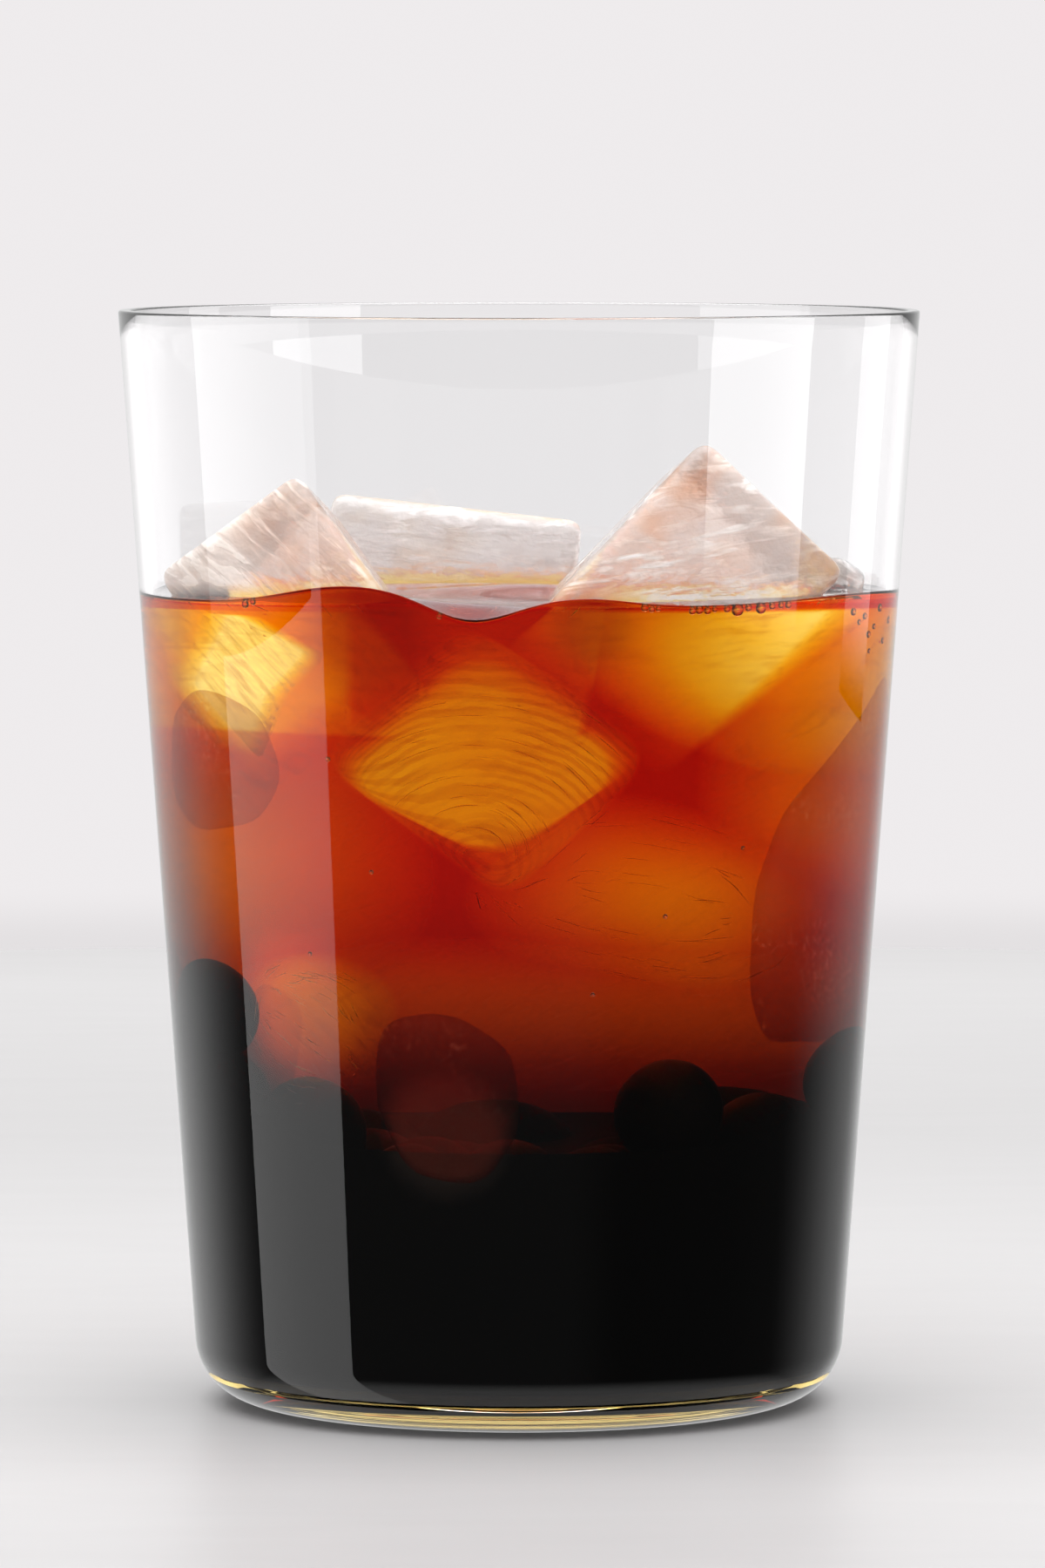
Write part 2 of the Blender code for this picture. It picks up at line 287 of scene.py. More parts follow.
def corner_arc(side_radius, floor, corner, steps):
    lean = math.atan(SIDE_SLOPE)
    centre_z = floor + corner
    centre_r = side_radius(centre_z) - corner / math.cos(lean)
    angles = [math.pi / 2 - (math.pi / 2 - lean) * i / steps for i in range(steps + 1)]
    return [(centre_r + corner * math.cos(a), centre_z - corner * math.sin(a)) for a in angles]


def side_run(side_radius, low, high, steps):
    """Points (radius, z) up the straight side, both ends left out."""
    return [
        (side_radius(low + (high - low) * i / steps), low + (high - low) * i / steps)
        for i in range(1, steps)
    ]


def round_turns(steps):
    return [2 * math.pi * i / steps for i in range(steps)]


def round_axis(r, turn, z):
    return r * math.cos(turn), r * math.sin(turn), z


def turned(name, profile, made, steps=TURNS):
    """A body turned from (radius, z) points, listed so that the outside is on their right going up."""
    bm = bmesh.new()
    rings = []
    for r, z in profile:
        if r < 1e-7:
            rings.append([bm.verts.new((0, 0, z))])
        else:
            rings.append([bm.verts.new(round_axis(r, t, z)) for t in round_turns(steps)])
    for a, b in zip(rings, rings[1:]):
        for i in range(steps):
            j = (i + 1) % steps
            if len(a) == 1:
                bm.faces.new((a[0], b[j], b[i]))
            elif len(b) == 1:
                bm.faces.new((a[i], a[j], b[0]))
            else:
                bm.faces.new((a[i], a[j], b[j], b[i]))
    bmesh.ops.recalc_face_normals(bm, faces=bm.faces)
    return from_bmesh(name, bm, made)


def material(name):
    made = bpy.data.materials.new(name)
    made.use_nodes = True
    tree = made.node_tree
    return made, tree, tree.nodes["Principled BSDF"], tree.nodes["Material Output"]


def node(tree, kind, **settings):
    made = tree.nodes.new(kind)
    for key, value in settings.items():
        setattr(made, key, value)
    return made


def plug_in(tree, source, target):
    tree.links.new(source, target)


def object_axes(tree):
    """Where the shaded point is, and its three coordinates."""
    coords = node(tree, "ShaderNodeTexCoord").outputs["Object"]
    split = node(tree, "ShaderNodeSeparateXYZ")
    plug_in(tree, coords, split.inputs[0])
    return coords, *split.outputs


def set_inputs(shader, **values):
    """Constants of a shader, with underscores for the blanks in the sockets' names."""
    for key, value in values.items():
        shader.inputs[key.replace("_", " ")].default_value = value


def scaled(tree, value, low, high, to_low=0.0, to_high=1.0, smoothed=False):
    """A value mapped from one range to another, held at its ends."""
    made = node(tree, "ShaderNodeMapRange")
    if smoothed:
        made.interpolation_type = "SMOOTHSTEP"
    set_inputs(made, From_Min=low, From_Max=high, To_Min=to_low, To_Max=to_high)
    plug_in(tree, value, made.inputs["Value"])
    return made.outputs["Result"]


def maths(tree, operation, first, second, clamp=False):
    made = node(tree, "ShaderNodeMath", operation=operation, use_clamp=clamp)
    for socket, value in zip(made.inputs, (first, second)):
        if isinstance(value, (int, float)):
            socket.default_value = value
        else:
            plug_in(tree, value, socket)
    return made.outputs[0]


def mixed(tree, share, first, second):
    """A colour between two, each a socket or three numbers."""
    made = node(tree, "ShaderNodeMix", data_type="RGBA")
    for socket, value in ((made.inputs[0], share), (made.inputs[6], first), (made.inputs[7], second)):
        if isinstance(value, tuple):
            socket.default_value = (*value, 1)
        elif isinstance(value, (int, float)):
            socket.default_value = value
        else:
            plug_in(tree, value, socket)
    return made.outputs[2]


def multiplied(tree, first, second):
    made = node(tree, "ShaderNodeMix", data_type="RGBA", blend_type="MULTIPLY")
    made.inputs[0].default_value = 1.0
    plug_in(tree, first, made.inputs[6])
    plug_in(tree, second, made.inputs[7])
    return made.outputs[2]


def placed(tree, source, turns=(0, 0, 0), scale=(1, 1, 1), offset=(0, 0, 0)):
    made = node(tree, "ShaderNodeMapping")
    made.inputs["Location"].default_value = offset
    made.inputs["Rotation"].default_value = [math.radians(t) for t in turns]
    made.inputs["Scale"].default_value = scale
    plug_in(tree, source, made.inputs["Vector"])
    return made.outputs[0]


def speckle(tree, vector, scale, detail=3.0, distortion=0.0, roughness=0.5):
    made = node(tree, "ShaderNodeTexNoise")
    set_inputs(made, Scale=scale, Detail=detail, Distortion=distortion, Roughness=roughness)
    plug_in(tree, vector, made.inputs["Vector"])
    return made.outputs["Fac"]


def tinged(tree, shader, scale, first, second, detail=2.0):
    """A colour that varies a little over the piece."""
    coords = node(tree, "ShaderNodeTexCoord").outputs["Object"]
    tone = mixed(tree, speckle(tree, coords, scale, detail), first, second)
    plug_in(tree, tone, shader.inputs["Base Color"])


# ================================================================ camera, light, table
def build_camera():
    data = bpy.data.cameras.new("camera")
    camera = bpy.data.objects.new("camera", data)
    bpy.context.scene.collection.objects.link(camera)
    camera.location = CAMERA_PLACE
    camera.rotation_euler = (math.radians(90 - CAMERA_DIP), 0, 0)
    data.sensor_width = 36
    data.lens = FOCAL_PX / PHOTO_PX * data.sensor_width
    data.shift_x = SHIFT_PX / PHOTO_PX
    data.clip_start = 0.01
    bpy.context.scene.camera = camera


def build_world():
    """Pale all round. Behind the glass it is brighter to both sides, which only bent light reaches."""
    world = bpy.data.worlds.new("studio")
    bpy.context.scene.world = world
    world.use_nodes = True
    tree = world.node_tree
    back = tree.nodes["Background"]
    back.inputs["Color"].default_value = (*BACKDROP, 1)
    split = node(tree, "ShaderNodeSeparateXYZ")
    plug_in(tree, node(tree, "ShaderNodeTexCoord").outputs["Generated"], split.inputs[0])
    across, deep, up = split.outputs
    path = node(tree, "ShaderNodeLightPath").outputs
    sideways = scaled(tree, maths(tree, "ABSOLUTE", across, 0), 0.18, 0.42, 0, SIDE_GLOW, True)
    sideways = maths(tree, "MULTIPLY", sideways, scaled(tree, deep, -0.3, 0.3, 0, 1, True))
    sideways = maths(tree, "MULTIPLY", sideways, maths(tree, "SUBTRACT", 1, path["Is Camera Ray"]))
    haze = scaled(tree, up, *HORIZON, True)
    plug_in(tree, maths(tree, "ADD", haze, sideways), back.inputs["Strength"])
    # What the gloss mirrors: dark in front of the glass, pale behind it.
    dark = node(tree, "ShaderNodeBackground")
    pale = scaled(tree, deep, 0.15, 0.80, 0.09, 0.80, True)
    pale = maths(tree, "MULTIPLY", pale, scaled(tree, across, 0.25, 0.60, 1, 0.6, True))
    steep = scaled(tree, maths(tree, "ABSOLUTE", up, 0), 0.30, 0.65, 0, 0.75, True)
    plug_in(tree, maths(tree, "MAXIMUM", pale, steep), dark.inputs["Color"])
    mix = node(tree, "ShaderNodeMixShader")
    mirrored = maths(tree, "SUBTRACT", path["Is Glossy Ray"], path["Is Transmission Ray"], True)
    plug_in(tree, mirrored, mix.inputs[0])
    plug_in(tree, back.outputs[0], mix.inputs[1])
    plug_in(tree, dark.outputs[0], mix.inputs[2])
    plug_in(tree, mix.outputs[0], tree.nodes["World Output"].inputs["Surface"])


def card(name, azimuth, width, low, high, strength, distance=1.2):
    """A softbox that only gloss sees, in degrees from the middle of the glass. Azimuth 0 is the front."""
    middle = HEIGHT / 2
    fade = 0.06 * distance
    made, tree, shader, output = material(name)
    light = node(tree, "ShaderNodeEmission")
    up = object_axes(tree)[3]
    foot = middle + distance * math.tan(math.radians(low))
    plug_in(tree, scaled(tree, up, foot, foot + fade, 0, strength, True), light.inputs["Strength"])
    plug_in(tree, light.outputs[0], output.inputs["Surface"])
    tree.nodes.remove(shader)
    bm = bmesh.new()
    corners = []
    for side, rise in ((-1, low), (1, low), (1, high), (-1, high)):
        turn = math.radians(azimuth) + side * math.radians(width / 2)
        z = middle + distance * math.tan(math.radians(rise))
        corners.append(bm.verts.new((distance * math.sin(turn), -distance * math.cos(turn), z)))
    bm.faces.new(corners)
    thing = from_bmesh(name, bm, made)
    for way in ("camera", "diffuse", "transmission", "volume_scatter", "shadow"):
        setattr(thing, f"visible_{way}", False)


def build_top_light():
    """A wide soft light overhead, which the camera doesn't see."""
    made, tree, shader, output = material("top_light")
    light = node(tree, "ShaderNodeEmission")
    light.inputs["Strength"].default_value = TOP_LIGHT
    plug_in(tree, light.outputs[0], output.inputs["Surface"])
    tree.nodes.remove(shader)
    bm = bmesh.new()
    bmesh.ops.create_grid(bm, x_segments=1, y_segments=1, size=1.5)
    bmesh.ops.translate(bm, vec=(0, 0, 2.0), verts=bm.verts)
    thing = from_bmesh("top_light", bm, made)
    thing.visible_camera = False


def build_table():
    made, tree, shader, output = material("table")
    set_inputs(shader, Roughness=0.4)
    coords, across, deep, up = object_axes(tree)
    grain = speckle(tree, placed(tree, coords, scale=(30, 160, 1)), 1.0, 5.0, 0.6)
    # Painted light and shade: from the near edge back it brightens, darkens, brightens a little
    # and darkens again.
    tone = scaled(tree, deep, -0.06, 0.26, 0.415, 0.325)
    tone = maths(tree, "ADD", tone, scaled(tree, deep, 0.30, 0.48, 0, 0.025))
    tone = maths(tree, "SUBTRACT", tone, scaled(tree, deep, 0.48, TABLE_REACH, 0, 0.020))
    # Painted shade: darker again towards the near edge.
    tone = maths(tree, "SUBTRACT", tone, scaled(tree, deep, -0.114, -0.070, 0.045, 0))
    tone = maths(tree, "MULTIPLY", tone, scaled(tree, grain, 0.3, 0.7, 0.985, 1.015))
    blend = node(tree, "ShaderNodeCombineColor")
    for socket, share in zip(blend.inputs, (1.0, 0.985, 0.99)):
        plug_in(tree, maths(tree, "MULTIPLY", tone, share), socket)
    plug_in(tree, blend.outputs[0], shader.inputs["Base Color"])
    bm = bmesh.new()
    bmesh.ops.create_circle(bm, cap_ends=True, segments=128, radius=TABLE_REACH)
    bmesh.ops.translate(bm, vec=(0, 0, FLOOR_Z), verts=bm.verts)
    table = from_bmesh("table", bm, made)
    table.visible_glossy = False


# ================================================================ the glass
def glass_material(name, bend, gloss):
    made, tree, shader, output = material(name)
    tinged(tree, shader, 40, (0.980, 0.985, 0.985), (0.990, 0.995, 0.995))
    set_inputs(shader, Roughness=0.0, IOR=bend, Transmission_Weight=1.0, Specular_Tint=gloss)
    return made


def build_glass():
    """The tumbler. Its wetted faces bend light as glass against the drink does; the drink bends none."""
    low_in = corner_arc(inner_radius, BASE, INNER_CORNER, 20)
    low_out = corner_arc(outer_radius, 0.0, FOOT_CORNER, 24)
    lip_in, lip_out = inner_radius(HEIGHT) + LIP, RIM_RADIUS - LIP
    quarter = [math.pi / 2 * i / 6 for i in range(7)]
    lip = [(lip_in - LIP * math.cos(a), HEIGHT - LIP + LIP * math.sin(a)) for a in quarter]
    lip += [(lip_out + LIP * math.sin(a), HEIGHT - LIP + LIP * math.cos(a)) for a in quarter]
    top = HEIGHT - LIP
    profile = [(0, BASE)] + low_in + side_run(inner_radius, low_in[-1][1], TEA_LEVEL - SHORE, 30)
    profile += [(inner_radius(z), z) for z in (TEA_LEVEL - SHORE, TEA_LEVEL, TEA_LEVEL + SHORE)]
    profile += side_run(inner_radius, TEA_LEVEL + SHORE, top, 12) + lip
    profile += side_run(outer_radius, low_out[-1][1], top, 40)[::-1] + low_out[::-1] + [(0, 0)]
    glass = turned("tumbler", profile, glass_material("clear_glass", GLASS_IOR, FULL_GLOSS))
    glass.data.materials.append(glass_material("wetted_glass", GLASS_IOR / TEA_IOR, NO_GLOSS))
    for vert in glass.data.vertices:
        x, y, z = vert.co
        if abs(z - TEA_LEVEL) < 1e-6 and math.hypot(x, y) < (inner_radius(z) + outer_radius(z)) / 2:
            turn = math.atan2(y, x)
            level = shore(turn, inner_radius)
            vert.co = round_axis(inner_radius(level), turn, level)
    for face in glass.data.polygons:
        x, y, z = face.center
        wetted = z > BASE * 0.9 and math.hypot(x, y) < (inner_radius(z) + outer_radius(z)) / 2
        if wetted and z < shore(math.atan2(y, x), inner_radius):
            face.material_index = 1
    smooth(glass)
    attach(glass, "root")
    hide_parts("glass")


# ================================================================ the drink
def tea_top(x, y):
    """Height of the drink's surface: its level, the climb at the wall and the swells."""
    climb, fade = MENISCUS
    off_wall = min(0, math.hypot(x, y) - inner_radius(TEA_LEVEL))
    return TEA_LEVEL + climb * math.exp(off_wall / fade) + sum(
        rise * math.exp(-((x - across) ** 2 + (y - deep) ** 2) / (2 * spread**2))
        for across, deep, spread, rise in SWELLS
    )


def shore(turn, radius):
    """Height of the waterline on the wall."""
    height = TEA_LEVEL
    for _ in range(4):
        reach = radius(height)
        height = tea_top(*round_axis(reach, turn, 0)[:2])
    return height


def near_point(tree, centre, full, last):
    """1 within the full reach of a point, 0 beyond its last reach."""
    off = node(tree, "ShaderNodeVectorMath", operation="DISTANCE")
    plug_in(tree, node(tree, "ShaderNodeTexCoord").outputs["Object"], off.inputs[0])
    off.inputs[1].default_value = centre
    return scaled(tree, off.outputs["Value"], full, last, 1, 0, True)


def tea_material():
    """Plain absorption. Cloudy syrup and painted shade at duller places are a tint on its outer wall."""
    made, tree, shader, output = material("black_tea")
    set_inputs(shader, Roughness=0.0, IOR=1.0, Transmission_Weight=1.0, Specular_Tint=NO_GLOSS)
    coords, across, deep, up = object_axes(tree)
    cloud = node(tree, "ShaderNodeValToRGB")
    stops = cloud.color_ramp.elements
    stops[0].position, stops[0].color = CLOUD[0][0], (*CLOUD[0][1], 1)
    stops[1].position, stops[1].color = CLOUD[-1][0], (*CLOUD[-1][1], 1)
    for place, color in CLOUD[1:-1]:
        stops.new(place).color = (*color, 1)
    left = scaled(tree, across, *CLOUD_LIFTED, CLOUD_LIFT, 0, True)
    plug_in(tree, scaled(tree, maths(tree, "SUBTRACT", up, left), *CLOUD_HEIGHTS), cloud.inputs[0])
    film = cloud.outputs[0]
    # Painted shade: the drink darker at the wall towards its sides, below some height.
    for first, full, low, high, through in SIDE_SHADE_FILMS:
        side = scaled(tree, across, first, full, 0, 1, True)
        side = maths(tree, "MULTIPLY", side, scaled(tree, up, low, high, 1, 0, True))
        film = multiplied(tree, film, mixed(tree, side, WHITE, through))
    for centre, full, last, through in GLOWS:
        film = mixed(tree, near_point(tree, centre, full, last), film, through)
    for centre, full, last, through in SHADES:
        film = multiplied(tree, film, mixed(tree, near_point(tree, centre, full, last), WHITE, through))
    squares = [maths(tree, "MULTIPLY", axis, axis) for axis in (across, deep)]
    reach = maths(tree, "SQRT", maths(tree, "ADD", *squares), 0)
    near_wall = maths(tree, "ADD", inner_radius(0) - 0.0005, maths(tree, "MULTIPLY", up, SIDE_SLOPE))
    on_wall = maths(tree, "GREATER_THAN", reach, near_wall)
    plug_in(tree, mixed(tree, on_wall, WHITE, film), shader.inputs["Base Color"])
    inside = node(tree, "ShaderNodeVolumeAbsorption")
    set_inputs(inside, Color=(*TEA_COLOR, 1), Density=TEA_DENSITY)
    plug_in(tree, inside.outputs[0], output.inputs["Volume"])
    return made


def surface_loops(bm, lower):
    """Rings of the drink's surface from near the middle to the wall, and the middle point."""
    turns = round_turns(TURNS)
    radius = short_of_wall(-WET)
    edge = [radius(shore(t, radius)) for t in turns]

    def vert(reach, turn):
        x, y, _ = round_axis(reach, turn, 0)
        return bm.verts.new((x, y, tea_top(x, y) - lower))

    shares = [1 - (1 - step / SURFACE_RINGS) ** 1.6 for step in range(1, SURFACE_RINGS + 1)]
    loops = [[vert(r * share, t) for t, r in zip(turns, edge)] for share in shares]
    return loops, vert(0.0, 0.0)


def stitch(bm, loops, flip=False):
    for inner, outer in zip(loops, loops[1:]):
        for i, vert in enumerate(inner):
            j = (i + 1) % len(inner)
            face = (vert, outer[i], outer[j], inner[j])
            bm.faces.new(face[::-1] if flip else face)


def fan(bm, middle, loop, flip=False):
    for i, vert in enumerate(loop):
        face = (middle, vert, loop[(i + 1) % len(loop)])
        bm.faces.new(face[::-1] if flip else face)


def carved(name, bm, rooms):
    """The mesh with the ice cut out of it."""
    bmesh.ops.triangulate(bm, faces=bm.faces)
    thing = from_bmesh(name, bm)
    cut(thing, rooms, "DIFFERENCE")
    thing.data.materials.clear()
    return thing


def build_tea(sunken, emergent):
    """The drink, one closed body that reaches just into the wall, and its surface."""
    bm = bmesh.new()
    turns = round_turns(TURNS)
    radius = short_of_wall(-WET)
    loops, middle = surface_loops(bm, SKIN / 2)
    low = corner_arc(radius, BASE - WET, INNER_CORNER, 20)
    edge = [v.co.z for v in loops[-1]]
    steps = 40
    for k in range(1, steps):
        heights = [h + (low[-1][1] - h) * k / steps for h in edge]
        loops.append([bm.verts.new(round_axis(radius(z), t, z)) for t, z in zip(turns, heights)])
    for r, z in low[::-1]:
        loops.append([bm.verts.new(round_axis(r, t, z)) for t in turns])
    stitch(bm, loops)
    fan(bm, middle, loops[0])
    fan(bm, bm.verts.new((0.0, 0.0, BASE - WET)), loops[-1], True)
    tea = carved("tea_body", bm, sunken + emergent)
    tea.data.materials.append(tea_material())
    smooth(tea, 40)
    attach(tea, "root")
    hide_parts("tea")
    bm = bmesh.new()
    upper, middle = surface_loops(bm, 0)
    lower, under = surface_loops(bm, SKIN)
    stitch(bm, upper)
    stitch(bm, lower, True)
    stitch(bm, [upper[-1], lower[-1]])
    fan(bm, middle, upper[0])
    fan(bm, under, lower[0], True)
    skin = carved("tea_surface", bm, emergent)
    skin.data.materials.append(skin_material("tea_surface", TEA_IOR))
    skin.data.materials.append(skin_material("tea_underside", 1.0))
    for face in skin.data.polygons:
        x, y, z = face.center
        face.material_index = 0 if z > tea_top(x, y) - SKIN / 2 and face.normal.z > 0.2 else 1
    smooth(skin, 40)
    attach(skin, "root")
    for room in sunken + emergent:
        bpy.data.objects.remove(room, do_unlink=True)


def skin_material(name, bend):
    """The film that bends light into the drink."""
    made, tree, shader, output = material(name)
    gloss = FULL_GLOSS if bend > 1 else NO_GLOSS
    set_inputs(shader, Roughness=0.0, IOR=bend, Transmission_Weight=1.0, Specular_Tint=gloss)
    tinged(tree, shader, 60, (1.0, 0.36, 0.12), (1.0, 0.52, 0.26), 1.0)
    return made


# ================================================================ the ice
def ice_material(name, bend, tilt=0.0, rings=None, dry=(0.76, 0.08), wet=(1.0, 0.97),
                 dim=(0.97, 0.93, 0.88), grain=(190, 190, 900), painted_tea_light=(WHITE, WHITE, WHITE), seed=0.0):
    """Ice with trapped air in streaks: white above the drink, clearer under it.

    dry and wet are the clearness between the streaks and in them. tilt turns the streaks in the front
    plane. rings is the point round which they run as rings instead. grain is how fine they are along
    three axes. dim is their colour under the drink, painted_tea_light the two tints above it and that of
    the frost, which are painted light: the drink's warm light from below.
    """
    made, tree, shader, output = material(name)
    set_inputs(shader, IOR=bend, Specular_Tint=FULL_GLOSS if bend > 1 else NO_GLOSS)
    set_inputs(shader, Subsurface_Weight=0.6, Subsurface_Radius=(1, 1, 1), Subsurface_Scale=0.003)
    coords, across, deep, up = object_axes(tree)
    above = scaled(tree, up, TEA_LEVEL - 0.0005, TEA_LEVEL + 0.0015)
    if rings:
        wave = node(tree, "ShaderNodeTexWave", wave_type="RINGS", rings_direction="SPHERICAL")
        set_inputs(wave, Scale=300, Distortion=4.0, Detail=3.0, Detail_Scale=0.6)
        plug_in(tree, placed(tree, coords, offset=tuple(-c for c in rings)), wave.inputs["Vector"])
        lines = wave.outputs["Fac"]
    else:
        turned_to = placed(tree, coords, turns=(0, tilt, 0), offset=(seed, seed, seed))
        lines = speckle(tree, placed(tree, turned_to, scale=grain), 1.0, 4.0, 0.8)
    cover = scaled(tree, speckle(tree, coords, 95, 2.0, 0.4), 0.40, 0.60, 0.2, 1)
    frost = maths(tree, "MULTIPLY", scaled(tree, lines, 0.50, 0.66), cover, clamp=True)
    # Above the drink the left end is frosted all over.
    tail = maths(tree, "MULTIPLY", scaled(tree, across, -0.033, -0.026, 1, 0, True), above)
    tail = maths(tree, "MULTIPLY", tail, scaled(tree, lines, 0.3, 0.6, 0.4, 1))
    frost = maths(tree, "ADD", frost, tail, clamp=True)
    clearness = node(tree, "ShaderNodeMix")
    plug_in(tree, above, clearness.inputs[0])
    plug_in(tree, scaled(tree, frost, 0, 1, *wet), clearness.inputs[2])
    plug_in(tree, scaled(tree, frost, 0, 1, *dry), clearness.inputs[3])
    plug_in(tree, clearness.outputs[0], shader.inputs["Transmission Weight"])
    # Painted light: above the drink the ice and its frost take warm tints for the drink's light from
    # below.
    tint = mixed(tree, scaled(tree, speckle(tree, coords, 110, 2.0), 0.48, 0.64), *painted_tea_light[:2])
    white = mixed(tree, frost, tint, painted_tea_light[2])
    under = mixed(tree, frost, WHITE, dim)
    plug_in(tree, mixed(tree, above, under, white), shader.inputs["Base Color"])
    rough = scaled(tree, frost, 0, 1, 0.05, 0.30)
    rough = maths(tree, "MULTIPLY", rough, scaled(tree, above, 0, 1, 0.5, 1))
    plug_in(tree, rough, shader.inputs["Roughness"])
    bump = node(tree, "ShaderNodeBump")
    set_inputs(bump, Distance=0.0004)
    plug_in(tree, scaled(tree, above, 0, 1, 0.03, 0.45), bump.inputs["Strength"])
    plug_in(tree, maths(tree, "ADD", lines, speckle(tree, coords, 900, 2.0)), bump.inputs["Height"])
    plug_in(tree, bump.outputs[0], shader.inputs["Normal"])
    return made


def melted(thing, voxel=0.00045, melting=4):
    """The same solid with its edges melted round."""
    remesh = thing.modifiers.new("even", "REMESH")
    remesh.mode = "VOXEL"
    remesh.voxel_size = voxel
    soften = thing.modifiers.new("soften", "SMOOTH")
    soften.iterations = melting
    soften.factor = 0.5
    apply_modifiers(thing)
    return thing


def shrunk(name, thing, inward):
    """The same body with its surface moved inward, or outward if that is negative."""
    mesh = thing.data.copy()
    for vert, normal in zip(mesh.vertices, [n.vector.copy() for n in thing.data.vertex_normals]):
        vert.co -= inward * normal
    return new_object(name, mesh)


def placed_at(centre, turns):
    """A place and turns in degrees about Y, X and Z, in that order."""
    roll, lean, yaw = (math.radians(t) for t in turns)
    turn = Matrix.Rotation(yaw, 4, "Z") @ Matrix.Rotation(lean, 4, "X") @ Matrix.Rotation(roll, 4, "Y")
    return Matrix.Translation(centre) @ turn


def drawn_phases(draw):
    return [draw.uniform(0, 2 * math.pi) for _ in range(3)]


def box_mesh(name, centre, sizes, turns, corner, uneven=0.0008):
    """A block with slightly uneven, rounded corners."""
    bm = bmesh.new()
    bmesh.ops.create_cube(bm, size=1.0)
    bmesh.ops.scale(bm, vec=sizes, verts=bm.verts)
    draw = random.Random(name)
    for vert in bm.verts:
        vert.co += Vector([draw.uniform(-uneven, uneven) for _ in sizes])
    edges = bm.verts[:] + bm.edges[:]
    bmesh.ops.bevel(bm, geom=edges, offset=corner, segments=3, profile=0.5, affect="EDGES")
    bmesh.ops.transform(bm, matrix=placed_at(centre, turns), verts=bm.verts)
    return mesh_of(name, bm)


def lens_mesh(name, centre, sizes, turns, uneven=0.06):
    """A lump that has melted to a slightly uneven lens, thickest in the middle of its front."""
    place = placed_at(centre, turns)
    half_width, half_depth, half_height = (size / 2 for size in sizes)
    wobble = drawn_phases(random.Random(name))
    bm = bmesh.new()

    def vert(share, angle, side):
        across, up = math.cos(angle), math.sin(angle)
        square = (abs(across) ** SQUARENESS + abs(up) ** SQUARENESS) ** (-1 / SQUARENESS)
        waves = sum(math.sin((k + 2) * angle + phase) for k, phase in enumerate(wobble))
        reach = share * square * (1 + uneven * waves / 2)
        y = half_depth * side * (1 - share**2) ** 0.8
        return bm.verts.new(place @ Vector((half_width * reach * across, y, half_height * reach * up)))

    angles = round_turns(64)
    edge = [vert(1, a, 0) for a in angles]
    for side in (-1, 1):
        loops = [[vert(k / 16, a, side) for a in angles] for k in range(1, 16)] + [edge]
        stitch(bm, loops, side > 0)
        fan(bm, vert(0, 0, side), loops[0], side > 0)
    bmesh.ops.triangulate(bm, faces=bm.faces)
    bmesh.ops.recalc_face_normals(bm, faces=bm.faces)
    return mesh_of(name, bm)


def prism_mesh(name, outline, near, far):
    """A body with an outline in the front plane that reaches from one depth to another."""
    bm = bmesh.new()
    ends = [[bm.verts.new((x, y, z)) for x, z in outline] for y in (near, far)]
    bm.faces.new(ends[0])
    bm.faces.new(ends[1])
    stitch(bm, ends)
    bmesh.ops.triangulate(bm, faces=bm.faces)
    bmesh.ops.recalc_face_normals(bm, faces=bm.faces)
    return mesh_of(name, bm)


def room_inside(name, inward, top):
    """The tumbler's inside up to a height, a little short of the wall. Pieces are cut to it."""
    radius = short_of_wall(inward)
    low = corner_arc(radius, BASE + inward, INNER_CORNER - inward, 8)
    profile = [(0, BASE + inward)] + low + side_run(radius, low[-1][1], top, 6)
    return turned(name, profile + [(radius(top), top), (0, top)], None, 160)


def build_emergent():
    """The blocks that stand out. Each has one look above the drink and one under it."""
    blocks = {}
    for seed, (name, tilt) in enumerate(STREAK_TILTS.items()):
        block = melted(new_object(f"{name}_block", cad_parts[name].data.copy()))
        block.data.materials.clear()
        for wetness, bend in (("dry", ICE_IOR), ("wet", 1.0)):
            block.data.materials.append(ice_material(
                f"{name}_{wetness}", bend, tilt=tilt, dry=DRY[name], dim=(0.84, 0.68, 0.44),
                painted_tea_light=ICE_PAINTED_TEA_LIGHT[name], seed=0.4 * seed,
            ))
        for face in block.data.polygons:
            x, y, z = face.center
            face.material_index = int(z < tea_top(x, y))
        smooth(block)
        blocks[name] = block
        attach(block, "root")
        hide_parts(name)
    return blocks


def sunken_lumps():
    """The sunken ice before it is cut to its place, by name."""
    prism = new_object("sunken_front_left", prism_mesh("front_left", FRONT_LEFT, *FRONT_LEFT_REACH))
    lumps = {"front_left": melted(prism, 0.0004, 6)}
    for name, (centre, sizes, turns, corner, melting) in SUNKEN.items():
        if corner is None:
            lumps[name] = new_object(f"sunken_{name}", lens_mesh(name, centre, sizes, turns))
        else:
            box = new_object(f"sunken_{name}", box_mesh(name, centre, sizes, turns, corner))
            lumps[name] = melted(box, 0.0006, melting)
    return lumps


